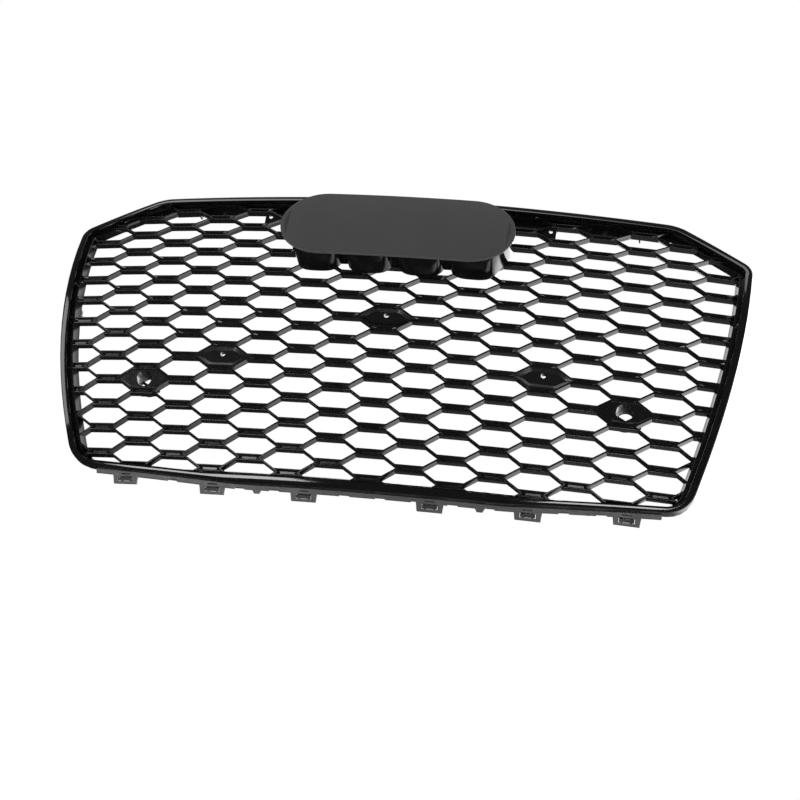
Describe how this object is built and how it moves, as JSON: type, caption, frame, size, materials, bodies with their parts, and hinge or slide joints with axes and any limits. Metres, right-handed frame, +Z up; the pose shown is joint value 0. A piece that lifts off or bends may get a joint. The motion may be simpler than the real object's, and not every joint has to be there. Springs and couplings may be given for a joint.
{
  "type": "front grille",
  "caption": "Curved hexagon-mesh front grille with gloss frame, blank oval emblem plate on a lobed stand, sensor holders and lower clip tabs.",
  "frame": {"origin": "Midway between the two upper screw holes, on the front face of the ears", "axes": "+X along the grille towards the viewer's right when seen from the front, +Y rearward into the car, +Z up along the mesh at its middle. The front faces -Y. On the car the whole part leans back about 12 degrees."},
  "size_m": [0.988, 0.1531, 0.4752],
  "materials": {
    "gloss_black": "gloss",
    "satin_black": "satin",
    "satin_grey": "satin",
    "emblem_satin": "satin",
    "foam_tape": "matte",
    "screw_steel": "satin"
  },
  "bodies": {
    "root": {"bezel": "gloss_black", "honeycomb": "gloss_black", "carrier_frame": "satin_black", "top_rail": "satin_black", "lower_rail": "satin_grey", "lower_clip_1": "satin_black", "lower_clip_2": "satin_black", "lower_clip_3": "satin_black", "lower_clip_4": "satin_black", "lower_clip_5": "satin_black", "lower_clip_6": "satin_black", "emblem_base": "gloss_black", "emblem_tape": "foam_tape", "emblem_plate": "emblem_satin", "emblem_screws": "screw_steel", "sensor_holder_left": "satin_black", "sensor_holder_right": "satin_black", "sensor_spring_left": "satin_black", "sensor_spring_right": "satin_black", "side_locator_left": "satin_black", "side_locator_right": "satin_black", "frame_screws": "screw_steel", "rail_screws": "screw_steel"}
  },
  "joints": []
}
